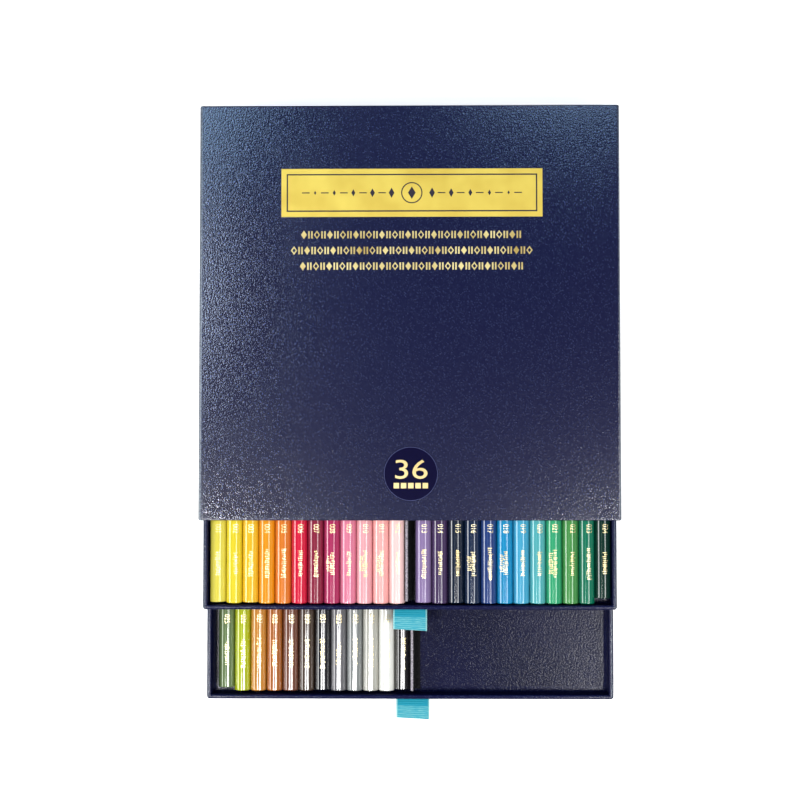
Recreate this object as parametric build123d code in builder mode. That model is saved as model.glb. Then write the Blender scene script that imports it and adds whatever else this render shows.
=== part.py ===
"""Two-drawer pencil box: a paper-covered board slipcase, two shallow trays with ribbon pulls, 36 pencils.

Millimetres. +Z is up with the box lying flat, and the mouth faces -Y. The origin is the centre of
the slipcase's underside. The drawers are modelled pulled out, as far as they stand in their rest pose.
"""

from build123d import *
import os

os.makedirs("parts", exist_ok=True)

# Pencils
pencil_length = 175.0
pencil_diameter = 7.2
pencil_clearance = 0.05
pencils_per_row = 12
lead_diameter = 3.0
lead_point_diameter = 0.7
sharpened_length = 18.0
dipped_end = 1.5
barrel_edge_radius = 0.4

# Board and paper
paper = 0.3
case_board = 1.25
shelf_board_thickness = 1.5
tray_board_thickness = 1.3
floor_card_thickness = 0.6
base_sheet_thickness = 0.3
case_edge_radius = 1.3
case_rear_edge_radius = 0.8
case_lip_radius = 0.7
tray_corner_radius = 1.3
tray_rim_radius = 0.7

# Trays
front_space = 0.5
rear_space = 3.3
rim_above_pencils = 1.9
floor_card_margin = 2.6
divider_thickness = 1.75
divider_height = 7.6
divider_top_radius = 0.8
divider_end_space = 1.6
divider_foot_width = 2.7
divider_foot_thickness = 0.6
upper_side_space = 0.5
lower_side_space = 2.75
upper_pull = 39.3
lower_pull = 80.6

# Slipcase
slide_gap = 0.25
home_gap = 0.4
shelf_recess = 0.6
turn_in = 12.0
base_sheet_inset = 2.5

# Ribbon pulls
ribbon_width = 15.0
ribbon_thickness = 0.4
ribbon_height = 6.5
upper_ribbon_shift = 0.2
lower_ribbon_shift = 1.3
ribbon_reach = 9.4
ribbon_nose_radius = 1.1
ribbon_anchor_length = 4.0
hinge_offset = 0.75
slit_clearance = 0.1

# Printed and applied pieces on the top
plate_length = 116.0
plate_width = 21.5
plate_thickness = 0.1
plate_from_rear = 39.4
plate_shift = 1.1
sticker_diameter = 24.0
sticker_thickness = 0.15
sticker_from_mouth = 20.6
sticker_shift = 0.6

# How far single pencils lie further back than their row, in mm
set_back = {1: 0.7, 2: 0.2, 3: 0.5, 13: 0.4, 15: 0.2, 24: 2.4, 25: 1.5, 31: 0.3, 36: 0.5}
lower_set_back = 0.9

# Sizes that follow
barrel_radius = pencil_diameter / 2
lead_radius = lead_diameter / 2
point_radius = lead_point_diameter / 2
lead_exposed = sharpened_length * (lead_radius - point_radius) / (barrel_radius - point_radius)
pencil_pitch = pencil_diameter + pencil_clearance
row_width = pencils_per_row * pencil_pitch

case_wall = case_board + 2 * paper
tray_wall = tray_board_thickness + 2 * paper
tray_floor = paper + tray_board_thickness + paper
card_top = tray_floor + floor_card_thickness
barrel_height = card_top + pencil_clearance + barrel_radius
tray_height = barrel_height + barrel_radius + rim_above_pencils

inner_width = upper_side_space + 2 * row_width + divider_thickness + divider_foot_width + pencil_clearance
inner_length = front_space + pencil_length + rear_space
tray_width = inner_width + 2 * tray_wall
tray_length = inner_length + 2 * tray_wall

bay_width = tray_width + 2 * slide_gap
bay_length = tray_length + home_gap
bay_height = tray_height + 2 * slide_gap
case_width = bay_width + 2 * case_wall
case_length = bay_length + case_wall
shelf_thickness = shelf_board_thickness + 2 * paper
lower_bay_floor = base_sheet_thickness + case_wall
upper_bay_floor = lower_bay_floor + bay_height + shelf_thickness
case_height = upper_bay_floor + bay_height + case_wall
mouth = -case_length / 2
rear = case_length / 2

drawers = [
    # name, pull, floor of its bay, space beside the first row, rows of pencils, their set back, ribbon's shift
    ("upper", upper_pull, upper_bay_floor, upper_side_space, 2, 0.0, upper_ribbon_shift),
    ("lower", lower_pull, lower_bay_floor, lower_side_space, 1, lower_set_back, lower_ribbon_shift),
]


def block(x, y, z, mode=Mode.ADD):
    """A box between two values of each axis, in the part being built."""
    middle = ((x[0] + x[1]) / 2, (y[0] + y[1]) / 2, (z[0] + z[1]) / 2)
    with Locations(middle):
        Box(x[1] - x[0], y[1] - y[0], z[1] - z[0], mode=mode)


def save(piece, name):
    piece.part.label = name
    export_step(piece.part, f"parts/{name}.step")


# The slipcase's shells, as half width, rear face, underside and top, from the outside in
cover_outside = (case_width / 2, rear, base_sheet_thickness, case_height)
board_outside = (case_width / 2 - paper, rear - paper, base_sheet_thickness + paper, case_height - paper)
board_inside = tuple(
    size - sign * case_board for size, sign in zip(board_outside, (1, 1, -1, 1))
)
lining_inside = (bay_width / 2, rear - case_wall, lower_bay_floor, case_height - case_wall)
board_front = mouth + paper

# Slipcase boards. The top and bottom boards run full width and the side boards stand between them.
with BuildPart() as top_board:
    with BuildSketch(Plane.XY.offset(board_inside[3])):
        with Locations((0, (board_front + board_outside[1]) / 2)):
            Rectangle(2 * board_outside[0], board_outside[1] - board_front)
    extrude(amount=case_board)
    outer_edges = top_board.edges().filter_by(Axis.Y).group_by(Axis.Z)[-1]
    fillet(outer_edges, case_edge_radius - paper)
save(top_board, "top_board")

with BuildPart() as bottom_board:
    with BuildSketch(Plane.XY.offset(board_outside[2])):
        with Locations((0, (board_front + board_outside[1]) / 2)):
            Rectangle(2 * board_outside[0], board_outside[1] - board_front)
    extrude(amount=case_board)
    outer_edges = bottom_board.edges().filter_by(Axis.Y).group_by(Axis.Z)[0]
    fillet(outer_edges, case_edge_radius - paper)
save(bottom_board, "bottom_board")

with BuildPart() as side_boards:
    with BuildSketch(Plane.XY.offset(board_inside[2])):
        for side in (-1, 1):
            board_middle = side * (board_outside[0] - case_board / 2)
            with Locations((board_middle, (board_front + board_outside[1]) / 2)):
                Rectangle(case_board, board_outside[1] - board_front)
    extrude(amount=board_inside[3] - board_inside[2])
save(side_boards, "side_boards")

with BuildPart() as rear_board:
    block(
        (-board_inside[0], board_inside[0]),
        (board_inside[1], board_outside[1]),
        (board_inside[2], board_inside[3]),
    )
save(rear_board, "rear_board")

with BuildPart() as shelf_board:
    block(
        (-lining_inside[0], lining_inside[0]),
        (mouth + shelf_recess + paper, lining_inside[1]),
        (upper_bay_floor - shelf_thickness + paper, upper_bay_floor - paper),
    )
save(shelf_board, "shelf_board")

# Cover paper: the outer skin, the lip over the boards' ends and the turn-in just inside the mouth
with BuildPart() as case_cover:
    with BuildSketch(Plane.XZ.offset(-rear)):
        with Locations((0, (cover_outside[2] + cover_outside[3]) / 2)):
            RectangleRounded(2 * cover_outside[0], cover_outside[3] - cover_outside[2], case_edge_radius)
    extrude(amount=case_length)
    fillet(case_cover.edges().group_by(Axis.Y)[-1], case_rear_edge_radius)
    with BuildSketch(Plane.XZ.offset(-board_outside[1])):
        with Locations((0, (board_outside[2] + board_outside[3]) / 2)):
            RectangleRounded(
                2 * board_outside[0], board_outside[3] - board_outside[2], case_edge_radius - paper
            )
    extrude(amount=board_outside[1] - board_front, mode=Mode.SUBTRACT)
    block(
        (-board_inside[0], board_inside[0]),
        (board_front, mouth + turn_in),
        (board_inside[2], board_inside[3]),
    )
    block(
        (-lining_inside[0], lining_inside[0]),
        (mouth, mouth + turn_in),
        (lining_inside[2], lining_inside[3]),
        mode=Mode.SUBTRACT,
    )
    fillet(case_cover.faces().sort_by(Axis.Y)[0].edges(), case_lip_radius)
save(case_cover, "case_cover")

# Lining paper of both bays, which also wraps the shelf and its front edge
with BuildPart() as case_lining:
    block(
        (-board_inside[0], board_inside[0]),
        (mouth + shelf_recess, board_inside[1]),
        (board_inside[2], board_inside[3]),
    )
    for bay_floor in (lower_bay_floor, upper_bay_floor):
        block(
            (-lining_inside[0], lining_inside[0]),
            (mouth, lining_inside[1]),
            (bay_floor, bay_floor + bay_height),
            mode=Mode.SUBTRACT,
        )
    add(shelf_board.part, mode=Mode.SUBTRACT)
    add(case_cover.part, mode=Mode.SUBTRACT)
save(case_lining, "case_lining")

with BuildPart() as base_sheet:
    with BuildSketch():
        Rectangle(case_width - 2 * base_sheet_inset, case_length - 2 * base_sheet_inset)
    extrude(amount=base_sheet_thickness)
save(base_sheet, "base_sheet")

# Applied pieces on the top
with BuildPart() as title_plate:
    with BuildSketch(Plane.XY.offset(case_height)):
        with Locations((plate_shift, rear - plate_from_rear)):
            Rectangle(plate_length, plate_width)
    extrude(amount=plate_thickness)
save(title_plate, "title_plate")

with BuildPart() as count_sticker:
    with BuildSketch(Plane.XY.offset(case_height)):
        with Locations((sticker_shift, mouth + sticker_from_mouth)):
            Circle(sticker_diameter / 2)
    extrude(amount=sticker_thickness)
save(count_sticker, "count_sticker")

# Drawers
pencil_number = 0
for name, pull, bay_floor, side_space, rows, row_set_back, ribbon_shift in drawers:
    front = mouth - pull
    middle = front + tray_length / 2
    floor = bay_floor + slide_gap
    slit_middle = floor + ribbon_height
    slit_half_height = ribbon_thickness + slit_clearance
    ribbon_sides = (ribbon_shift - ribbon_width / 2, ribbon_shift + ribbon_width / 2)
    slit_sides = (ribbon_sides[0] - slit_clearance, ribbon_sides[1] + slit_clearance)
    pocket_depths = (front + paper, front + paper + 2 * ribbon_thickness + slit_clearance)
    pocket_heights = (slit_middle - slit_half_height - ribbon_anchor_length, slit_middle + slit_half_height)

    # Tray of folded board, with a pocket for the ribbon's glued end in its front
    with BuildPart() as tray_board:
        with BuildSketch(Plane((0, middle, floor + paper))):
            RectangleRounded(tray_width - 2 * paper, tray_length - 2 * paper, tray_corner_radius - paper)
        extrude(amount=tray_height - 2 * paper)
        with BuildSketch(Plane((0, middle, floor + paper + tray_board_thickness))):
            Rectangle(inner_width + 2 * paper, inner_length + 2 * paper)
        extrude(amount=tray_height, mode=Mode.SUBTRACT)
        block(slit_sides, pocket_depths, pocket_heights, mode=Mode.SUBTRACT)
    save(tray_board, f"{name}_tray_board")

    # Tray paper: outside, over the rim, and down over the inner walls and floor
    with BuildPart() as tray_cover:
        with BuildSketch(Plane((0, middle, floor))):
            RectangleRounded(tray_width, tray_length, tray_corner_radius)
        extrude(amount=tray_height)
        with BuildSketch(Plane((0, middle, floor + tray_floor))):
            Rectangle(inner_width, inner_length)
        extrude(amount=tray_height, mode=Mode.SUBTRACT)
        rim_edges = tray_cover.faces().sort_by(Axis.Z)[-1].edges()
        fillet(rim_edges, tray_rim_radius)
        block(
            (-inner_width / 2 - paper, inner_width / 2 + paper),
            (front + tray_wall - paper, front + tray_length - tray_wall + paper),
            (floor + paper, floor + tray_floor - paper),
            mode=Mode.SUBTRACT,
        )
        add(tray_board.part, mode=Mode.SUBTRACT)
        block(
            slit_sides,
            (front, front + paper),
            (slit_middle - slit_half_height, slit_middle + slit_half_height),
            mode=Mode.SUBTRACT,
        )
        block(slit_sides, pocket_depths, pocket_heights, mode=Mode.SUBTRACT)
    save(tray_cover, f"{name}_tray_cover")

    # Embossed card on the tray's floor
    with BuildPart() as floor_card:
        with BuildSketch(Plane((0, middle, floor + tray_floor))):
            Rectangle(inner_width - 2 * floor_card_margin, inner_length - 2 * floor_card_margin)
        extrude(amount=floor_card_thickness)
    save(floor_card, f"{name}_floor_card")

    # Divider: an upright strip beside the first row, on a glued foot
    divider_left = -inner_width / 2 + side_space + row_width
    divider_right = divider_left + divider_thickness
    foot_end = divider_right + divider_foot_width - pencil_clearance
    foot_bottom = floor + card_top
    foot_top = foot_bottom + divider_foot_thickness
    with BuildPart() as divider:
        with BuildSketch(Plane.XZ.offset(-(front + tray_wall + divider_end_space))):
            with BuildLine():
                Polyline(
                    (divider_left, foot_bottom),
                    (foot_end, foot_bottom),
                    (foot_end, foot_top),
                    (divider_right, foot_top),
                    (divider_right, foot_bottom + divider_height),
                    (divider_left, foot_bottom + divider_height),
                    close=True,
                )
            make_face()
        extrude(amount=-(inner_length - 2 * divider_end_space))
        fillet(divider.edges().filter_by(Axis.Y).group_by(Axis.Z)[-1], divider_top_radius)
    save(divider, f"{name}_divider")

    # Ribbon pull. Its two ends go in through the slit and are glued down behind the paper.
    with BuildPart() as ribbon_anchor:
        block(
            ribbon_sides,
            (front, front + paper + 2 * ribbon_thickness),
            (slit_middle - ribbon_thickness, slit_middle + ribbon_thickness),
        )
        block(
            ribbon_sides,
            (front + paper, front + paper + 2 * ribbon_thickness),
            (slit_middle - ribbon_thickness - ribbon_anchor_length, slit_middle - ribbon_thickness),
        )
    save(ribbon_anchor, f"{name}_ribbon_anchor")

    # The free loop turns at the slit. Its section is a teardrop with a flat hollow.
    hinge_y = front - hinge_offset
    nose_y = front - ribbon_reach + ribbon_nose_radius
    with BuildPart() as ribbon_loop:
        with BuildSketch(Plane((ribbon_sides[0], 0, 0), x_dir=(0, 1, 0), z_dir=(1, 0, 0))):
            with Locations((hinge_y, slit_middle)):
                Circle(ribbon_thickness)
            with Locations((nose_y, slit_middle)):
                Circle(ribbon_nose_radius)
            make_hull()
        extrude(amount=ribbon_width)
        with BuildSketch(Plane((ribbon_sides[0], 0, 0), x_dir=(0, 1, 0), z_dir=(1, 0, 0))):
            with Locations((hinge_y - 2 * ribbon_thickness, slit_middle)):
                Circle(ribbon_thickness / 4)
            with Locations((nose_y, slit_middle)):
                Circle(ribbon_nose_radius - ribbon_thickness)
            make_hull()
        extrude(amount=ribbon_width, mode=Mode.SUBTRACT)
    save(ribbon_loop, f"{name}_ribbon_loop")

    # Pencils lie side by side with their flat ends to the front and their points to the rear
    row_starts = [-inner_width / 2 + side_space, divider_right + divider_foot_width]
    leads = []
    for row_start in row_starts[:rows]:
        for place in range(pencils_per_row):
            pencil_number = pencil_number + 1
            back = set_back.get(pencil_number, 0.0) + row_set_back
            axis_x = row_start + pencil_pitch * place + pencil_pitch / 2
            end_y = front + tray_wall + front_space + back
            end = (axis_x, end_y, floor + barrel_height)
            along = Plane(end, x_dir=(0, 1, 0), z_dir=(1, 0, 0))
            turning = Axis(end, (0, 1, 0))
            with BuildPart() as pencil:
                with BuildSketch(along):
                    with BuildLine():
                        Polyline(
                            (0, 0),
                            (0, barrel_radius),
                            (pencil_length - sharpened_length, barrel_radius),
                            (pencil_length - lead_exposed, lead_radius),
                            (dipped_end, lead_radius),
                            (dipped_end, 0),
                            close=True,
                        )
                    make_face()
                revolve(axis=turning)
                fillet(pencil.edges().filter_by(GeomType.CIRCLE).sort_by(Axis.Y)[0], barrel_edge_radius)
            save(pencil, f"pencil_{pencil_number:02d}")
            leads.append((along, turning))

    # Lead cores, bare at the sharpened end
    with BuildPart() as lead_cores:
        for along, turning in leads:
            with BuildSketch(along):
                with BuildLine():
                    Polyline(
                        (dipped_end, 0),
                        (dipped_end, lead_radius),
                        (pencil_length - lead_exposed, lead_radius),
                        (pencil_length, point_radius),
                        (pencil_length, 0),
                        close=True,
                    )
                make_face()
            revolve(axis=turning)
    save(lead_cores, f"{name}_leads")
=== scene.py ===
import bmesh
import bpy
import math
import random
from mathutils import Matrix, Vector


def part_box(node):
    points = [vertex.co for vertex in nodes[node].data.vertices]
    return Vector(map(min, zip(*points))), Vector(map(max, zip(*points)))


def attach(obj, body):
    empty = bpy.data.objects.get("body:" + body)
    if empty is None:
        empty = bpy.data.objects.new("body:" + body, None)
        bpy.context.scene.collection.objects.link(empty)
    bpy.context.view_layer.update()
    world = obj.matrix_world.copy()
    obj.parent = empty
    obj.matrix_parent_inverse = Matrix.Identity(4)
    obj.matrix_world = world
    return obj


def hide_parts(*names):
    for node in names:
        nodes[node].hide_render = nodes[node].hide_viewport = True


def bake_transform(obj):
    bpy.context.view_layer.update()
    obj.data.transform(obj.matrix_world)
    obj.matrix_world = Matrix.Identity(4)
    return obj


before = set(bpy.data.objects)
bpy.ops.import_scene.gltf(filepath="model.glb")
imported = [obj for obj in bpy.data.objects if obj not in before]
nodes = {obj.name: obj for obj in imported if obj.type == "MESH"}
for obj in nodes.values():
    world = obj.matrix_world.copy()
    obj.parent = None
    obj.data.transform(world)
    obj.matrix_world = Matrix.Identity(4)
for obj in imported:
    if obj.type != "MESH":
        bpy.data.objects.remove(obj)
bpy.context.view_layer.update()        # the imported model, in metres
mm = 0.001
print("frame loaded:", len(nodes), "nodes")


def linear(hexCode):
    channels = [int(hexCode[i:i + 2], 16) / 255 for i in (0, 2, 4)]
    return tuple(c / 12.92 if c <= 0.04045 else ((c + 0.055) / 1.055) ** 2.4 for c in channels) + (1.0,)


def addObject(name, data):
    made = bpy.data.objects.new(name, data)
    bpy.context.scene.collection.objects.link(made)
    return made


def connect(tree, node, inputs):
    for key, value in inputs.items():
        if isinstance(value, bpy.types.NodeSocket):
            tree.links.new(value, node.inputs[key])
        else:
            node.inputs[key].default_value = value
    return node


def addNode(tree, kind, inputs=None, **settings):
    node = tree.nodes.new("ShaderNode" + kind)
    for key, value in settings.items():
        setattr(node, key, value)
    return connect(tree, node, inputs or {})


def startMaterial(name, follows="Object"):
    # follows says which coordinates the material's patterns lie on
    material = bpy.data.materials.new(name)
    material.use_nodes = True
    tree = material.node_tree
    return material, tree, tree.nodes["Principled BSDF"], addNode(tree, "TexCoord").outputs[follows]


# Camera: almost straight down over the drawers, as a hand-held picture is, so it leans by 2.3 and 0.9 degrees
cameraLook = {"place": (6.2, -67.2, 721.4), "turn": (2.32, 0.86, -0.01), "lens": 70.38, "sensor": 36}
cameraData = bpy.data.cameras.new("camera")
cameraData.lens = cameraLook["lens"]
cameraData.sensor_width = cameraLook["sensor"]
camera = addObject("camera", cameraData)
camera.location = [v * mm for v in cameraLook["place"]]
camera.rotation_euler = [math.radians(v) for v in cameraLook["turn"]]
bpy.context.scene.camera = camera

# Navy leatherette paper: printed stock, machine embossed with a fine pebble and varnished. The eye sees a
# near-black blue that turns grey with sparkle where a window lights the pebbles. Lengths are in mm.
leatherettePaper = {
    "navy": "020733",
    "violet": "050632",      # the blue drifts a little across the sheet
    "drift": 45,
    "paintedPebbleHighlight": "242B4C",   # painted highlight: lighter pebble tops stand in for their sparkle
    "topHeights": (0.1, 0.45),
    "pebble": 0.8,           # a little coarser than the real grain, so that it shows
    "wobble": 1.5,           # the pebbles' outlines are pushed about over this length
    "push": 0.8,
    "tooth": 0.6,            # fine grain on each pebble
    "dish": 0.9,             # how steeply a pebble falls off from its middle
    "relief": 0.034,
    "topRoughness": 0.34,
    "valleyRoughness": 0.46,
    "specular": 0.05,
    "varnish": 0.9,          # a hard film that sparkles on the pebbles facing a window
    "varnishRoughness": 0.17,
    "varnishIor": 1.95,
    "paintedEdgeHighlight": "6E7880",      # painted highlight along the folded edges
    "highlightCore": 0.2,          # the share of a painted highlight's half width that is painted in full
    "highlightHeights": (0.1, 0.6),
}

# The trays have the same stock with a thinner varnish, the floor cards a darker one, the dividers a black one
trayCoverPaper = dict(leatherettePaper, varnish=0.12)
floorCardPaper = dict(leatherettePaper, navy="01031C", paintedPebbleHighlight="1A1F3E", relief=0.05, varnish=0.09)
dividerPaper = dict(leatherettePaper, navy="020206", violet="030206", paintedPebbleHighlight="06060C", paintedEdgeHighlight="A8A0A8",
                    varnish=0.1)


def leatherette(name, look, folds=(), highlightStrength=1.0):
    # folds are (axis, place of the painted highlight along a folded edge, its half width) in mm
    material, tree, shader, place = startMaterial(name)
    drift = addNode(tree, "TexNoise", {"Vector": place, "Scale": 1 / (look["drift"] * mm), "Detail": 1})
    wobble = addNode(tree, "TexNoise", {"Vector": place, "Scale": 1 / (look["wobble"] * mm), "Detail": 2})
    shifted = addNode(tree, "VectorMath", {0: wobble.outputs["Color"], 1: [look["push"] * mm] * 3, 2: place},
                      operation="MULTIPLY_ADD")
    pebbles = addNode(tree, "TexVoronoi", {"Vector": shifted.outputs[0], "Scale": 1 / (look["pebble"] * mm)})
    tooth = addNode(tree, "TexNoise", {"Vector": place, "Scale": 1 / (look["tooth"] * mm), "Detail": 1})
    height = addNode(tree, "Math", {0: pebbles.outputs["Distance"], 1: -look["dish"], 2: tooth.outputs["Fac"]},
                     operation="MULTIPLY_ADD")
    blue = addNode(tree, "MixRGB", {"Fac": drift.outputs["Fac"], "Color1": linear(look["navy"]),
                                    "Color2": linear(look["violet"])})
    top = addNode(tree, "MapRange", {"Value": height.outputs[0], "From Min": look["topHeights"][0],
                                     "From Max": look["topHeights"][1]})
    # Painted highlight: the pebble tops get a lighter colour that stands in for the sparkle the light makes on
    # them.
    colour = addNode(tree, "MixRGB", {"Fac": top.outputs[0], "Color1": blue.outputs[0],
                                      "Color2": linear(look["paintedPebbleHighlight"])})
    split = addNode(tree, "SeparateXYZ", {"Vector": place})
    # Painted highlight: a light line along each folded edge, where the rounded fold would catch the light,
    # broken up by the grain.
    for axis, line, reach in folds:
        offLine = addNode(tree, "Math", {0: split.outputs[axis], 1: line * mm}, operation="SUBTRACT")
        away = addNode(tree, "Math", {0: offLine.outputs[0]}, operation="ABSOLUTE")
        near = addNode(tree, "MapRange", {"Value": away.outputs[0], "From Min": reach * mm,
                                          "From Max": look["highlightCore"] * reach * mm})
        uneven = addNode(tree, "Math", {0: near.outputs[0], 1: tooth.outputs["Fac"]}, operation="MULTIPLY")
        foldHighlight = addNode(tree, "MapRange", {"Value": uneven.outputs[0], "From Min": look["highlightHeights"][0],
                                         "From Max": look["highlightHeights"][1], "To Max": highlightStrength})
        colour = addNode(tree, "MixRGB", {"Fac": foldHighlight.outputs[0], "Color1": colour.outputs[0],
                                          "Color2": linear(look["paintedEdgeHighlight"])})
    bump = addNode(tree, "Bump", {"Height": height.outputs[0], "Distance": look["relief"] * mm})
    gloss = addNode(tree, "MapRange", {"Value": top.outputs[0], "To Min": look["valleyRoughness"],
                                       "To Max": look["topRoughness"]})
    connect(tree, shader, {"Base Color": colour.outputs[0], "Roughness": gloss.outputs[0],
                           "Normal": bump.outputs[0], "Specular IOR Level": look["specular"],
                           "Coat Weight": look["varnish"], "Coat Roughness": look["varnishRoughness"],
                           "Coat IOR": look["varnishIor"], "Coat Normal": bump.outputs[0]})
    return material


# Plain stocks: grey recycled board and dark lining paper, both uncoated and matt,
# with fibres that the eye sees as faint flecks
plainStocks = {
    "greyboard": {"base": "9A9488", "fleck": "7C776C", "fibre": 0.9, "roughness": 0.9},
    "liningPaper": {"base": "12142A", "fleck": "1B1E38", "fibre": 0.6, "roughness": 0.7},
}
fibreLook = {"flecks": (0.5, 0.62), "relief": 0.03}


def plainStock(name):
    look = plainStocks[name]
    material, tree, shader, place = startMaterial(name)
    fibres = addNode(tree, "TexNoise", {"Vector": place, "Scale": 1 / (look["fibre"] * mm), "Detail": 4})
    flecks = addNode(tree, "MapRange", {"Value": fibres.outputs["Fac"], "From Min": fibreLook["flecks"][0],
                                        "From Max": fibreLook["flecks"][1]})
    colour = addNode(tree, "MixRGB", {"Fac": flecks.outputs[0], "Color1": linear(look["base"]),
                                      "Color2": linear(look["fleck"])})
    bump = addNode(tree, "Bump", {"Height": fibres.outputs["Fac"], "Distance": fibreLook["relief"] * mm})
    connect(tree, shader, {"Base Color": colour.outputs[0], "Roughness": look["roughness"],
                           "Normal": bump.outputs[0]})
    return material


# Hot-stamped foil: a metal film pressed into the paper, satin from the paper's tooth, so it is warm yellow with
# soft lights and never a mirror
foils = {
    "plateFoil": {"base": "E6CA58", "worn": "D8B84A", "metallic": 0.55, "roughness": 0.46},
    "stampedFoil": {"base": "F4DE98", "worn": "BFA155", "metallic": 0.6, "roughness": 0.38},
    "numberFoil": {"base": "DCC48A", "worn": "C8AE70", "metallic": 0.6, "roughness": 0.42},
    "penFoil": {"base": "F4E8BC", "worn": "D8C080", "metallic": 0.5, "roughness": 0.3},
}
foilPress = {"tooth": 0.8, "cloud": 14, "patches": (0.35, 0.7), "relief": 0.02}


def foil(name):
    look = foils[name]
    material, tree, shader, place = startMaterial(name)
    tooth = addNode(tree, "TexNoise", {"Vector": place, "Scale": 1 / (foilPress["tooth"] * mm), "Detail": 3})
    cloud = addNode(tree, "TexNoise", {"Vector": place, "Scale": 1 / (foilPress["cloud"] * mm), "Detail": 2})
    patches = addNode(tree, "MapRange", {"Value": cloud.outputs["Fac"], "From Min": foilPress["patches"][0],
                                         "From Max": foilPress["patches"][1]})
    colour = addNode(tree, "MixRGB", {"Fac": patches.outputs[0], "Color1": linear(look["base"]),
                                      "Color2": linear(look["worn"])})
    bump = addNode(tree, "Bump", {"Height": tooth.outputs["Fac"], "Distance": foilPress["relief"] * mm})
    connect(tree, shader, {"Base Color": colour.outputs[0], "Metallic": look["metallic"],
                           "Roughness": look["roughness"], "Normal": bump.outputs[0]})
    return material


# Printed ink and the sticker's laminated face: smooth and even, with the film's faint orange peel
inks = {
    "printInk": {"base": "2A2430", "roughness": 0.5},
    "laminatedLabel": {"base": "060429", "roughness": 0.22},
    # painted highlight for the sticker's edge
    "labelEdgeHighlight": {"base": "4A5078", "roughness": 0.4},
}
filmLook = {"peel": 2.2, "tone": (0.85, 1.15), "relief": 0.01, "specular": 0.2}


def ink(name):
    look = inks[name]
    material, tree, shader, place = startMaterial(name)
    peel = addNode(tree, "TexNoise", {"Vector": place, "Scale": 1 / (filmLook["peel"] * mm), "Detail": 1})
    shade = addNode(tree, "MapRange", {"Value": peel.outputs["Fac"], "To Min": filmLook["tone"][0],
                                       "To Max": filmLook["tone"][1]})
    tone = addNode(tree, "HueSaturation", {"Value": shade.outputs[0], "Color": linear(look["base"])})
    bump = addNode(tree, "Bump", {"Height": peel.outputs["Fac"], "Distance": filmLook["relief"] * mm})
    connect(tree, shader, {"Base Color": tone.outputs[0], "Roughness": look["roughness"],
                           "Specular IOR Level": filmLook["specular"], "Normal": bump.outputs[0]})
    return material


# Pencil lacquer: many thin dips of gloss nitro lacquer on turned wood. The film lies a little uneven along the
# barrel, so its long highlights waver.
lacquerFilm = {
    "roughness": 0.14,
    "coatRoughness": 0.04,
    "ripple": 0.010,         # mm deep
    "rippleLength": 16,
    "rippleWidth": 2.2,
    "apart": 0.37,           # m from one pencil's ripples to the next one's, so that no two are alike
    "tone": (0.92, 1.08),
}


def lacquer(number, hexCode):
    look = lacquerFilm
    material, tree, shader, place = startMaterial(f"lacquer{number:02d}")
    stretched = addNode(tree, "Mapping", {"Vector": place, "Location": (number * look["apart"], 0, 0),
                                          "Scale": (1, look["rippleWidth"] / look["rippleLength"], 1)})
    ripple = addNode(tree, "TexNoise", {"Vector": stretched.outputs[0], "Scale": 1 / (look["rippleWidth"] * mm),
                                        "Detail": 1})
    shade = addNode(tree, "MapRange", {"Value": ripple.outputs["Fac"], "To Min": look["tone"][0],
                                       "To Max": look["tone"][1]})
    tone = addNode(tree, "HueSaturation", {"Value": shade.outputs[0], "Color": linear(hexCode)})
    bump = addNode(tree, "Bump", {"Height": ripple.outputs["Fac"], "Distance": look["ripple"] * mm})
    connect(tree, shader, {"Base Color": tone.outputs[0], "Roughness": look["roughness"],
                           "Coat Weight": 1.0, "Coat Roughness": look["coatRoughness"],
                           "Normal": bump.outputs[0], "Coat Normal": bump.outputs[0]})
    return material


# Sharpened cone: bare cedar, cut clean, with straight grain along the pencil
cedarLook = {
    "early": "D9B283",
    "late": "B98655",
    "grain": 0.55,
    "stretch": 0.05,
    "rings": (0.4, 0.65),
    "relief": 0.03,
    "roughness": 0.7,
}


def cedar():
    material, tree, shader, place = startMaterial("cutCedar")
    along = addNode(tree, "Mapping", {"Vector": place, "Scale": (1, cedarLook["stretch"], 1)})
    grain = addNode(tree, "TexNoise", {"Vector": along.outputs[0], "Scale": 1 / (cedarLook["grain"] * mm),
                                       "Detail": 3})
    rings = addNode(tree, "MapRange", {"Value": grain.outputs["Fac"], "From Min": cedarLook["rings"][0],
                                       "From Max": cedarLook["rings"][1]})
    colour = addNode(tree, "MixRGB", {"Fac": rings.outputs[0], "Color1": linear(cedarLook["early"]),
                                      "Color2": linear(cedarLook["late"])})
    bump = addNode(tree, "Bump", {"Height": grain.outputs["Fac"], "Distance": cedarLook["relief"] * mm})
    connect(tree, shader, {"Base Color": colour.outputs[0], "Roughness": cedarLook["roughness"],
                           "Normal": bump.outputs[0]})
    return material


# One colour for each pencil, 1 to 36. All but the last were worked out by a scratch program, which compared
# the photograph's colours with the render's, so they aren't chosen by hand.
pencilColours = """D9CA4C DEC82B E4B323 E08F13 D47422 CB1638 842039 A62756 D57790 DE9DA2 EBA49F ECC2BD
846E99 3E2A51 0F1C2F 122541 1D3871 0C84B4 3E9BBC 4DA3A6 2C9A68 438843 086D50 072C23
607448 A5B00D BD7E2B A25B1E 6C3E2B 45352A 15171B 646265 7E817F ABA99E E4E3DA 08080A""".split()

# Pigment core: wax-bound chalk, matt, in the pencil's own colour. One ramp holds a drawer's row of colours.
coreLook = {"chalk": 0.4, "tone": (0.8, 1.1), "relief": 0.03, "roughness": 0.75}


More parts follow.
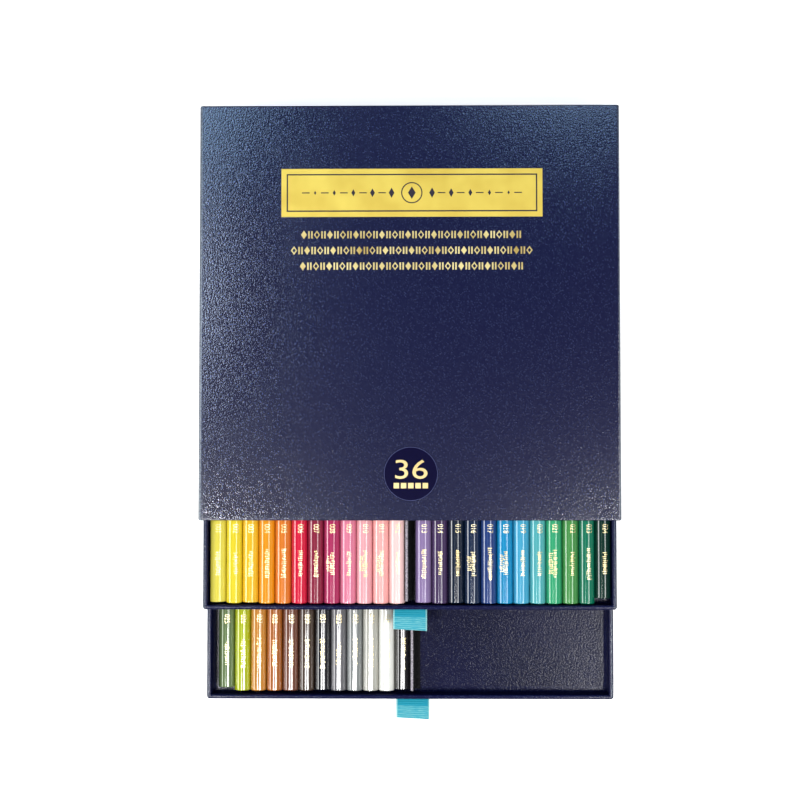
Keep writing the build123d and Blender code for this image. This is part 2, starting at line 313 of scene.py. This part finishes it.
def pigmentCores(name, numbers):
    material, tree, shader, place = startMaterial(name)
    left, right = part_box(f"pencil_{numbers[0]:02d}")[0].x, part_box(f"pencil_{numbers[-1]:02d}")[1].x
    split = addNode(tree, "SeparateXYZ", {"Vector": place})
    across = addNode(tree, "MapRange", {"Value": split.outputs["X"], "From Min": left, "From Max": right})
    ramp = addNode(tree, "ValToRGB", {"Fac": across.outputs[0]})
    ramp.color_ramp.interpolation = "CONSTANT"
    for number in numbers:
        start = (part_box(f"pencil_{number:02d}")[0].x - left) / (right - left)
        step = ramp.color_ramp.elements[0] if number == numbers[0] else ramp.color_ramp.elements.new(start)
        step.color = linear(pencilColours[number - 1])
    ramp.color_ramp.elements.remove(ramp.color_ramp.elements[-1])
    chalk = addNode(tree, "TexNoise", {"Vector": place, "Scale": 1 / (coreLook["chalk"] * mm), "Detail": 3})
    shade = addNode(tree, "MapRange", {"Value": chalk.outputs["Fac"], "To Min": coreLook["tone"][0],
                                       "To Max": coreLook["tone"][1]})
    tone = addNode(tree, "HueSaturation", {"Value": shade.outputs[0], "Color": ramp.outputs["Color"]})
    bump = addNode(tree, "Bump", {"Height": chalk.outputs["Fac"], "Distance": coreLook["relief"] * mm})
    connect(tree, shader, {"Base Color": tone.outputs[0], "Roughness": coreLook["roughness"],
                           "Normal": bump.outputs[0]})
    return material


# Grosgrain: close polyester ribs across the ribbon, a tight selvedge along each side, a soft sheen on each rib,
# painted shade in the grooves.
# Near the slit the cloth has painted shade, a deeper colour, for the tray front's shade. Lengths are in mm, as
# the cloth's own UV is.
grosgrainLook = {
    "width": 15.0,
    "length": 28.9,
    "rib": "80C3C2",
    "paintedGrooveShade": "3098AA",
    "ribPitch": 0.9,
    "ribCrest": 0.6,         # the wave height from which a rib has its full colour
    "relief": 0.12,
    "wander": (0.35, 0.5),   # how often the ribs waver, and how far
    "streaks": (0.25, 3.0),  # single threads, long across the ribbon
    "threads": (0.35, 0.7),
    "paintedShade": "008CA2",
    "slitShadeReach": (5.2, 6.0),   # from the fold to where the painted shade begins and is full
    "slitShadeShare": 0.9,
    "selvedge": "A2DCDA",
    "selvedgeReach": (6.8, 7.05),
    "selvedgeShare": 0.75,
    "roughness": 0.6,
    "specular": 0.25,
    "sheen": 0.1,
    "sheenRoughness": 0.4,
}


def grosgrain():
    look = grosgrainLook
    material, tree, shader, laid = startMaterial("polyesterGrosgrain", "UV")     # across, along
    split = addNode(tree, "SeparateXYZ", {"Vector": laid})
    wander = addNode(tree, "TexNoise", {"Vector": laid, "Scale": look["wander"][0], "Detail": 2})
    pushed = addNode(tree, "Math", {0: wander.outputs["Fac"], 1: look["wander"][1], 2: split.outputs["Y"]},
                     operation="MULTIPLY_ADD")
    turn = addNode(tree, "Math", {0: pushed.outputs[0], 1: 2 * math.pi / look["ribPitch"]},
                   operation="MULTIPLY")
    wave = addNode(tree, "Math", {0: turn.outputs[0]}, operation="SINE")
    rib = addNode(tree, "MapRange", {"Value": wave.outputs[0], "From Min": -1.0, "From Max": look["ribCrest"]})
    streaks = addNode(tree, "Mapping", {"Vector": laid, "Scale": (*look["streaks"], 1)})
    threads = addNode(tree, "TexNoise", {"Vector": streaks.outputs[0], "Scale": 1.0, "Detail": 3})
    lift = addNode(tree, "MapRange", {"Value": threads.outputs["Fac"], "From Min": look["threads"][0],
                                      "From Max": look["threads"][1]})
    lit = addNode(tree, "Math", {0: rib.outputs[0], 1: lift.outputs[0]}, operation="MULTIPLY")
    # Painted shade: the grooves between the ribs are coloured darker and the crests lighter, as light falls on
    # them.
    colour = addNode(tree, "MixRGB", {"Fac": lit.outputs[0], "Color1": linear(look["paintedGrooveShade"]),
                                      "Color2": linear(look["rib"])})
    offFold = addNode(tree, "Math", {0: split.outputs["Y"], 1: look["length"] / 2}, operation="SUBTRACT")
    fromFold = addNode(tree, "Math", {0: offFold.outputs[0]}, operation="ABSOLUTE")
    # Painted shade: near the slit, where the tray's front shades the loop, the cloth gets a deeper colour.
    nearSlitShade = addNode(tree, "MapRange", {"Value": fromFold.outputs[0], "From Min": look["slitShadeReach"][0],
                                         "From Max": look["slitShadeReach"][1], "To Max": look["slitShadeShare"]})
    colour = addNode(tree, "MixRGB", {"Fac": nearSlitShade.outputs[0], "Color1": colour.outputs[0],
                                      "Color2": linear(look["paintedShade"])})
    offCentre = addNode(tree, "Math", {0: split.outputs["X"]}, operation="ABSOLUTE")
    edge = addNode(tree, "MapRange", {"Value": offCentre.outputs[0], "From Min": look["selvedgeReach"][0],
                                      "From Max": look["selvedgeReach"][1], "To Max": look["selvedgeShare"]})
    colour = addNode(tree, "MixRGB", {"Fac": edge.outputs[0], "Color1": colour.outputs[0],
                                      "Color2": linear(look["selvedge"])})
    bump = addNode(tree, "Bump", {"Height": rib.outputs[0], "Distance": look["relief"] * mm})
    connect(tree, shader, {"Base Color": colour.outputs[0], "Roughness": look["roughness"],
                           "Normal": bump.outputs[0], "Specular IOR Level": look["specular"],
                           "Sheen Weight": look["sheen"], "Sheen Roughness": look["sheenRoughness"]})
    return material


# Painted highlights along the folded paper's edges, in mm in from the edge, with their half widths
foldLook = {
    "right": (0.5, 0.5),
    "left": (0.8, 0.8),
    "tray": (0.8, 0.45),
    "trayHighlight": 0.45,
    "divider": (0.6, 1.0),
}
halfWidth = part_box("case_cover")[1].x / mm
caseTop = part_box("case_cover")[1].z / mm
casePaper = leatherette("leatherettePaper", leatherettePaper,
                        [("X", halfWidth - foldLook["right"][0], foldLook["right"][1]),
                         ("X", foldLook["left"][0] - halfWidth, foldLook["left"][1])])
greyboard = plainStock("greyboard")
lining = plainStock("liningPaper")
ribbonCloth = grosgrain()
coneWood = cedar()
plateFoil, stampedFoil, numberFoil, penFoil = [foil(name) for name in foils]
printInk, laminatedLabel, labelEdgeHighlight = [ink(name) for name in inks]
drawers = {"upper": range(1, 25), "lower": range(25, 37)}      # the numbers of the pencils in each


def dress(node, *materials):
    mesh = nodes[node].data
    mesh.materials.clear()
    for material in materials:
        mesh.materials.append(material)
    return mesh


for node in ("top_board", "bottom_board", "side_boards", "rear_board", "shelf_board",
             "upper_tray_board", "lower_tray_board"):
    dress(node, greyboard)
dress("case_cover", casePaper)
dress("case_lining", lining)
dress("base_sheet", lining)
dress("title_plate", plateFoil)
dress("count_sticker", laminatedLabel)
# The cut cone is every face past this place along the pencil (mm) that leans towards the point
coneLook = {"lean": 0.05, "along": 100}
for drawer, numbers in drawers.items():
    # Painted highlight along the rim of each tray wall.
    inset, reach = foldLook["tray"]
    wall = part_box(f"{drawer}_tray_cover")[1].x / mm - inset
    trayPaper = leatherette(drawer + "TrayPaper", trayCoverPaper, [("X", wall, reach), ("X", -wall, reach)],
                            foldLook["trayHighlight"])
    dress(f"{drawer}_tray_cover", trayPaper)
    dress(f"{drawer}_floor_card", leatherette(drawer + "FloorCard", floorCardPaper))
    # Painted highlight along the divider's left edge.
    inset, reach = foldLook["divider"]
    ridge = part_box(f"{drawer}_divider")[0].x / mm + inset
    dress(f"{drawer}_divider", leatherette(drawer + "DividerPaper", dividerPaper, [("X", ridge, reach)]))
    dress(f"{drawer}_leads", pigmentCores(drawer + "PigmentCores", list(numbers)))
    for number in numbers:
        mesh = dress(f"pencil_{number:02d}", lacquer(number, pencilColours[number - 1]), coneWood)
        low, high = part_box(f"pencil_{number:02d}")
        for face in mesh.polygons:
            if face.normal.y > coneLook["lean"] and face.center.y > low.y + coneLook["along"] * mm:
                face.material_index = 1
print("materials on all CAD nodes")


def makePiece(name, shape, material, body):
    mesh = bpy.data.meshes.new(name)
    shape.to_mesh(mesh)
    shape.free()
    mesh.materials.append(material)
    piece = addObject(name, mesh)
    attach(piece, body)


def makeArtwork(name, shape, rise, material):
    # flat artwork on the case, given its thickness upwards
    grown = bmesh.ops.extrude_face_region(shape, geom=shape.faces[:])
    corners = [v for v in grown["geom"] if isinstance(v, bmesh.types.BMVert)]
    bmesh.ops.translate(shape, verts=corners, vec=(0, 0, rise * mm))
    bmesh.ops.recalc_face_normals(shape, faces=shape.faces[:])
    makePiece(name, shape, material, "case")


def addTile(shape, x, y, z, width, height, sides=4, turn=45):
    # a flat polygon: four sides turned by 45 make an upright rectangle, and by 0 a lozenge
    reach = math.sqrt(0.5) if turn == 45 else 0.5
    place = Matrix.Translation((x * mm, y * mm, z * mm)) @ Matrix.Diagonal((width * mm, height * mm, 1, 1))
    made = bmesh.ops.create_circle(shape, cap_ends=True, segments=sides, radius=reach,
                                   matrix=place @ Matrix.Rotation(math.radians(turn), 4, "Z"))
    return made["verts"][0].link_faces[0]


def addRing(shape, x, y, z, width, height, line, sides=4, turn=45):
    middle = addTile(shape, x, y, z, width, height, sides, turn)
    bmesh.ops.inset_region(shape, faces=[middle], thickness=line * mm, use_even_offset=True, use_boundary=True)
    bmesh.ops.delete(shape, geom=[middle], context="FACES")


def topOf(node):
    # the node's middle, size and top, in mm
    low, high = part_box(node)
    middle = ((low.x + high.x) / 2 / mm, (low.y + high.y) / 2 / mm)
    return middle, ((high.x - low.x) / mm, (high.y - low.y) / mm), high.z / mm


def flatText(words, size, bold, wide):
    # plain numbers as flat faces about the origin, thickened by bold (mm)
    curve = bpy.data.curves.new("words", "FONT")
    curve.body = words
    curve.size = size * mm
    curve.resolution_u = 4
    curve.align_x = "CENTER"
    curve.align_y = "CENTER"
    lettering = addObject("words", curve)
    bpy.context.view_layer.update()
    flat = bpy.data.meshes.new_from_object(lettering.evaluated_get(bpy.context.evaluated_depsgraph_get()))
    bpy.data.objects.remove(lettering)
    shape = bmesh.new()
    shape.from_mesh(flat)
    bpy.data.meshes.remove(flat)
    bmesh.ops.remove_doubles(shape, verts=shape.verts[:], dist=0.001 * mm)
    bmesh.ops.inset_region(shape, faces=shape.faces[:], thickness=bold * mm, use_boundary=True,
                           use_even_offset=True, use_outset=True)
    bmesh.ops.scale(shape, verts=shape.verts[:], vec=(wide, 1, 1))
    return shape


# Artwork on the foil plate: an inset line all round and a plain row of ornaments, each side of a ringed lozenge
plateLook = {
    "inset": 2.3,
    "line": 0.6,
    "rise": 0.03,
    "lozenges": 5,
    "lozenge": 4.6,
    "slim": 0.55,
    "shrink": 0.15,          # each lozenge is smaller than the one before it by this share of the first
    "start": 9,
    "pitch": 8.5,
    "dash": (3.4, 0.45),
    "dashStart": 13.2,
    "ring": (9.5, 9.5, 0.5),
    "ringSides": 40,
    "middle": (3.4, 5.6),
}
plateMiddle, (plateWide, plateTall), plateTop = topOf("title_plate")
border = bmesh.new()
addRing(border, *plateMiddle, plateTop, plateWide - 2 * plateLook["inset"], plateTall - 2 * plateLook["inset"],
        plateLook["line"])
makeArtwork("plate_border", border, plateLook["rise"], printInk)

ornament = bmesh.new()
for side in (-1, 1):
    for step in range(plateLook["lozenges"]):
        size = plateLook["lozenge"] * (1 - plateLook["shrink"] * step)
        x = plateMiddle[0] + side * (plateLook["start"] + plateLook["pitch"] * step)
        addTile(ornament, x, plateMiddle[1], plateTop, size * plateLook["slim"], size, turn=0)
        x = plateMiddle[0] + side * (plateLook["dashStart"] + plateLook["pitch"] * step)
        addTile(ornament, x, plateMiddle[1], plateTop, *plateLook["dash"])
addRing(ornament, *plateMiddle, plateTop, *plateLook["ring"], sides=plateLook["ringSides"], turn=0)
addTile(ornament, *plateMiddle, plateTop, *plateLook["middle"], turn=0)
makeArtwork("plate_ornament", ornament, plateLook["rise"], printInk)
print("plate artwork made")

# Three rows of small foil ornaments below the plate: a lozenge, two bars, a ring and two bars in turn
rowLook = {
    "rows": [(34.3, -48.3, 50.0), (27.3, -52.7, 54.7), (20.3, -48.8, 50.8)],   # place in y, left end, right end
    "tall": 3.8,
    "step": 2.9,
    "rise": 0.03,
    "lozenge": 2.6,
    "ring": 2.8,
    "ringLine": 0.5,
    "bar": 0.7,
    "barTall": 0.85,         # share of the row's height
    "barOut": 0.65,
}
foilRows = bmesh.new()
for rowNumber, (y, left, right) in enumerate(rowLook["rows"]):
    count = round((right - left) / rowLook["step"])
    for k in range(count):
        x = left + (right - left) * (k + 0.5) / count
        kind = (k + 2 * rowNumber) % 4
        if kind == 0:
            addTile(foilRows, x, y, caseTop, rowLook["lozenge"], rowLook["tall"], turn=0)
        elif kind == 2:
            addRing(foilRows, x, y, caseTop, rowLook["ring"], rowLook["tall"], rowLook["ringLine"], turn=0)
        else:
            for side in (-1, 1):
                addTile(foilRows, x + side * rowLook["barOut"], y, caseTop, rowLook["bar"],
                        rowLook["tall"] * rowLook["barTall"])
makeArtwork("foil_rows", foilRows, rowLook["rise"], stampedFoil)
print("foil rows made")

# Sticker: a thin painted highlight round its edge, the count and a row of small squares
stickerLook = {
    "rise": 0.03,
    "rim": 0.16,
    "rimIn": 0.3,
    "rimSides": 96,
    "digits": 12.0,
    "bold": 1.27,
    "wide": 1.32,
    "digitsUp": 1.5,
    "tiles": 5,
    "tile": 2.4,
    "tilePitch": 3.2,
    "tilesDown": 5.2,
}
stickerMiddle, (stickerSize, _), stickerTop = topOf("count_sticker")
across = stickerSize - stickerLook["rimIn"]
# Painted highlight: a thin lighter ring where the sticker's edge catches the light.
rim = bmesh.new()
addRing(rim, *stickerMiddle, stickerTop, across, across, stickerLook["rim"], stickerLook["rimSides"], turn=0)
makeArtwork("sticker_rim", rim, stickerLook["rise"], labelEdgeHighlight)

digits = flatText("36", stickerLook["digits"], stickerLook["bold"], stickerLook["wide"])
digitsMiddle = Vector((stickerMiddle[0], stickerMiddle[1] + stickerLook["digitsUp"], stickerTop))
bmesh.ops.translate(digits, verts=digits.verts[:], vec=digitsMiddle * mm)
makeArtwork("sticker_number", digits, stickerLook["rise"], numberFoil)
tiles = bmesh.new()
for k in range(stickerLook["tiles"]):
    x = stickerMiddle[0] + (k - (stickerLook["tiles"] - 1) / 2) * stickerLook["tilePitch"]
    addTile(tiles, x, stickerMiddle[1] - stickerLook["tilesDown"], stickerTop, stickerLook["tile"],
            stickerLook["tile"])
makeArtwork("sticker_tiles", tiles, stickerLook["rise"], numberFoil)
print("sticker made")

# Foil stamps on the barrels: the pencil's own number by the mouth, and below it one or two lines of fine
# strokes, all wrapped on the barrel and read downwards. Pairs are the least and the most that is drawn.
stampLook = {
    "lift": 0.012,
    "off": (0.2, 0.9),       # how far round to the right of the barrel's crest
    "numberPlace": 35.6,     # from the tray's front
    "digits": 3.7,
    "bold": 0.12,
    "wide": 0.74,
    "cuts": 3,               # cuts each side of the middle, for the figures to bend at
    "cutPitch": 0.4,
    "strokesPlace": 20.0,    # from the tray's front
    "lines": (1, 1, 1, 2),   # lines of strokes on a barrel, one of these by chance
    "linePitch": 1.9,
    "lineLength": (9, 14),
    "lineShrink": 0.5,
    "strokeWidth": (0.3, 0.6),
    "strokeTall": (1.0, 2.3),
    "strokePitch": (0.65, 0.95),
    "waver": 0.25,
}


def wrapOn(shape, node, along, centre):
    # lays flat artwork on a barrel: left to right runs towards the flat end, and its height goes round
    low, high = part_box(node)
    radius = (high.x - low.x) / 2
    reach = radius + stampLook["lift"] * mm
    for vert in shape.verts:
        angle = (centre * mm + vert.co.y) / radius
        vert.co = Vector(((low.x + high.x) / 2 + reach * math.sin(angle), low.y + along * mm - vert.co.x,
                          (low.z + high.z) / 2 + reach * math.cos(angle)))


def addTo(whole, shape):
    mesh = bpy.data.meshes.new("joined")
    shape.to_mesh(mesh)
    shape.free()
    whole.from_mesh(mesh)
    bpy.data.meshes.remove(mesh)


def numberStamp(number):
    figures = flatText(f"{number:03d}", stampLook["digits"], stampLook["bold"], stampLook["wide"])
    for cut in range(-stampLook["cuts"], stampLook["cuts"] + 1):
        bmesh.ops.bisect_plane(figures, geom=figures.verts[:] + figures.edges[:] + figures.faces[:],
                               plane_co=(0, stampLook["cutPitch"] * cut * mm, 0), plane_no=(0, 1, 0))
    return figures


def strokeLine(chance, line):
    strokes = bmesh.new()
    length = chance.uniform(*stampLook["lineLength"]) / (1 + stampLook["lineShrink"] * line)
    along = -length / 2
    while along < length / 2:
        y = chance.uniform(-stampLook["waver"], stampLook["waver"]) - stampLook["linePitch"] * line
        size = Matrix.Diagonal((chance.uniform(*stampLook["strokeWidth"]),
                                chance.uniform(*stampLook["strokeTall"]), 1, 1))
        bmesh.ops.create_grid(strokes, x_segments=1, y_segments=4, size=0.5 * mm,
                              matrix=Matrix.Translation((along * mm, y * mm, 0)) @ size)
        along = along + chance.uniform(*stampLook["strokePitch"])
    return strokes


for drawer, numbers in drawers.items():
    stamps = bmesh.new()
    for number in numbers:
        node = f"pencil_{number:02d}"
        chance = random.Random(number)
        centre = chance.uniform(*stampLook["off"])
        back = (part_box(node)[0].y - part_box(f"{drawer}_tray_cover")[0].y) / mm
        figures = numberStamp(number)
        wrapOn(figures, node, stampLook["numberPlace"] - back, centre)
        addTo(stamps, figures)
        for line in range(chance.choice(stampLook["lines"])):
            strokes = strokeLine(chance, line)
            wrapOn(strokes, node, stampLook["strokesPlace"] - back, centre)
            addTo(stamps, strokes)
    makePiece(f"{drawer}_pencil_stamps", stamps, penFoil, f"{drawer}_drawer")
print("pencil stamps made")

# Ribbon pull: one length of grosgrain, doubled, its ends glued down behind the tray's paper. The path is in mm,
# outwards from the tray's front and upwards from the slit.
ribbonLook = {
    "thickness": 0.4,
    "skew": 0.055,           # the fold runs a little off square
    "reach": 9.3,
    "bend": 1.5,             # the bend at the slit is spread over this length
    "smooth": 12,
    "across": 12,            # faces over the width
    "along": 150,
    "path": [(-0.98, -4.3), (-0.98, -2.5), (-0.98, -0.9), (-0.75, 0.1), (-0.2, 0.24), (0.6, 0.3), (1.8, 0.62),
             (3.4, 1.0), (5.2, 1.02), (7.0, 0.92), (8.5, 0.8), (9.25, 0.35), (9.3, -0.3), (8.6, -0.75),
             (7.2, -0.85), (4.5, -0.75), (2.0, -0.45), (0.6, -0.28), (-0.15, -0.24), (-0.5, -0.4),
             (-0.54, -1.4), (-0.54, -4.3)],
}


def ribbonLine(front, height):
    # points along the ribbon's path, and the length run at each
    curve = bpy.data.curves.new("ribbonPath", "CURVE")
    curve.dimensions = "3D"
    line = curve.splines.new("NURBS")
    line.points.add(len(ribbonLook["path"]) - 1)
    for point, (out, up) in zip(line.points, ribbonLook["path"]):
        point.co = (0, (front - out) * mm, (height + up) * mm, 1)
    line.order_u = 3
    line.use_endpoint_u = True
    line.resolution_u = ribbonLook["smooth"]
    carrier = bpy.data.objects.new("ribbonPath", curve)
    sampled = bpy.data.meshes.new_from_object(carrier)
    points = [v.co.copy() for v in sampled.vertices]
    bpy.data.objects.remove(carrier)
    lengths = [0.0]
    for a, b in zip(points, points[1:]):
        lengths.append(lengths[-1] + (b - a).length)
    return points, lengths


def ribbonPull(drawer):
    low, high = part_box(f"{drawer}_ribbon_loop")
    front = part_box(f"{drawer}_tray_cover")[0].y / mm
    middle = ((low.x + high.x) / 2 / mm, (low.z + high.z) / 2 / mm)
    points, lengths = ribbonLine(front, middle[1])
    total = lengths[-1]
    width = grosgrainLook["width"]
    cloth = bmesh.new()
    layer = cloth.loops.layers.uv.new("laid")
    grid = bmesh.ops.create_grid(cloth, x_segments=ribbonLook["across"], y_segments=ribbonLook["along"],
                                 size=0.5)
    for face in cloth.faces:
        for loop in face.loops:
            loop[layer].uv = (loop.vert.co.x * width, (loop.vert.co.y + 0.5) * total / mm)
    for vert in grid["verts"]:
        run = (vert.co.y + 0.5) * total
        k = min(max(i for i, length in enumerate(lengths) if length <= run + 1e-9), len(points) - 2)
        share = (run - lengths[k]) / max(lengths[k + 1] - lengths[k], 1e-9)
        spot = points[k].lerp(points[k + 1], share)
        x = vert.co.x * width
        out = max(0, front - spot.y / mm) / ribbonLook["reach"]
        vert.co = Vector(((middle[0] + x) * mm, spot.y - ribbonLook["skew"] * x * out * mm, spot.z))
    bmesh.ops.recalc_face_normals(cloth, faces=cloth.faces[:])
    clothMesh = bpy.data.meshes.new(f"{drawer}_ribbon_pull")
    cloth.to_mesh(clothMesh)
    cloth.free()
    clothMesh.materials.append(ribbonCloth)
    for face in clothMesh.polygons:
        face.use_smooth = True
    piece = addObject(f"{drawer}_ribbon_pull", clothMesh)
    thick = piece.modifiers.new("thickness", "SOLIDIFY")
    thick.thickness = ribbonLook["thickness"] * mm
    thick.offset = 0
    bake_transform(piece)
    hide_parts(f"{drawer}_ribbon_loop", f"{drawer}_ribbon_anchor")
    print(drawer, "ribbon length", round(total / mm, 1), "mm")


ribbonPull("upper")
ribbonPull("lower")


# Pale floor: white paper that keeps a soft shadow near the box. Camera, mirror and glass rays see it lifted to
# white, and far from the box it is plain white, for low views to have no grey band.
floorLook = {
    "colour": "F4F4F2",
    "roughness": 0.9,
    "specular": 0.1,
    "lift": 0.66,
    "farLift": 1.0,
    "near": 250,
    "far": 700,
    "reach": 3.0,            # m
}
material, tree, shader, place = startMaterial("whitePaperFloor")
rays = addNode(tree, "LightPath")
seen = rays.outputs["Is Camera Ray"]
for kind in ("Is Glossy Ray", "Is Transmission Ray"):
    seen = addNode(tree, "Math", {0: seen, 1: rays.outputs[kind]}, operation="MAXIMUM").outputs[0]
away = addNode(tree, "VectorMath", {0: place}, operation="LENGTH")
level = addNode(tree, "MapRange", {"Value": away.outputs["Value"], "From Min": floorLook["near"] * mm,
                                   "From Max": floorLook["far"] * mm, "To Min": floorLook["lift"],
                                   "To Max": floorLook["farLift"]})
lift = addNode(tree, "Math", {0: seen, 1: level.outputs[0]}, operation="MULTIPLY")
connect(tree, shader, {"Base Color": linear(floorLook["colour"]), "Roughness": floorLook["roughness"],
                       "Specular IOR Level": floorLook["specular"], "Emission Color": (1, 1, 1, 1),
                       "Emission Strength": lift.outputs[0]})
floorShape = bmesh.new()
bmesh.ops.create_grid(floorShape, x_segments=1, y_segments=1, size=floorLook["reach"])
floorMesh = bpy.data.meshes.new("floor")
floorShape.to_mesh(floorMesh)
floorShape.free()
floorMesh.materials.append(material)
addObject("floor", floorMesh)

# Room light: white at the horizon, pale low down, dim overhead, where the photographer stands. Pairs are
# heights of the sky, from 0 at the horizon to 1 overhead.
roomLook = {
    "low": "FFFFFF",
    "high": "8A94B0",
    "strength": 0.45,
    "overhead": 0.03,
    "climb": (0.2, 0.85),
    "haze": (0.09, 0.2),
}
world = bpy.data.worlds.new("room")
bpy.context.scene.world = world
world.use_nodes = True
tree = world.node_tree
sky = addNode(tree, "SeparateXYZ", {"Vector": addNode(tree, "TexCoord").outputs["Generated"]}).outputs["Z"]
climb = addNode(tree, "MapRange", {"Value": sky, "From Min": roomLook["climb"][0],
                                   "From Max": roomLook["climb"][1]})
tint = addNode(tree, "MixRGB", {"Fac": climb.outputs[0], "Color1": linear(roomLook["low"]),
                                "Color2": linear(roomLook["high"])})
level = addNode(tree, "MapRange", {"Value": climb.outputs[0], "To Min": roomLook["strength"],
                                   "To Max": roomLook["overhead"]})
haze = addNode(tree, "MapRange", {"Value": sky, "From Min": roomLook["haze"][0],
                                  "From Max": roomLook["haze"][1], "To Min": 1.0, "To Max": 0.0})
strength = addNode(tree, "Math", {0: level.outputs[0], 1: haze.outputs[0]}, operation="MAXIMUM")
connect(tree, tree.nodes["Background"], {"Color": tint.outputs[0], "Strength": strength.outputs[0]})

# Lamps: a strip on each side gives every barrel its two lines. Panels all round the photographer, none of them
# overhead, give the paper its sheen towards the left side, the top and the two corners by the mouth.
lamps = {
    "leftStrip": {"place": (-1250, -260, 640), "size": (560, 420), "power": 5.3, "colour": "FFFFFF"},
    "rightStrip": {"place": (660, -240, 1110), "size": (560, 220), "power": 3.2, "colour": "FFFFFF"},
    "leftPanel": {"place": (-350, 80, 900), "size": (210, 140), "power": 1.2, "colour": "DDEBFF"},
    "frontLeftPanel": {"place": (-318, -335, 900), "size": (90, 300), "power": 5.0, "colour": "FFFFFF"},
    "frontRightPanel": {"place": (318, -340, 900), "size": (90, 280), "power": 4.5, "colour": "FFFFFF"},
    "coolPanel": {"place": (-300, 340, 900), "size": (210, 180), "power": 0.8, "colour": "B4DCFF"},
    "rearPanel": {"place": (180, 420, 900), "size": (140, 220), "power": 0.55, "colour": "B4DCFF"},
}
lampsAim = Vector((0, -0.06, 0.02))      # the middle of the box and its open drawers, in m
for name, look in lamps.items():
    lamp = bpy.data.lights.new(name, "AREA")
    lamp.shape = "RECTANGLE"
    lamp.size, lamp.size_y = look["size"][0] * mm, look["size"][1] * mm
    lamp.energy = look["power"]
    lamp.color = linear(look["colour"])[:3]
    holder = addObject(name, lamp)
    holder.location = Vector(look["place"]) * mm
    holder.rotation_euler = (lampsAim - holder.location).to_track_quat("-Z", "Y").to_euler()
bpy.context.scene.view_settings.view_transform = "Standard"
print("floor, room and lamps made")
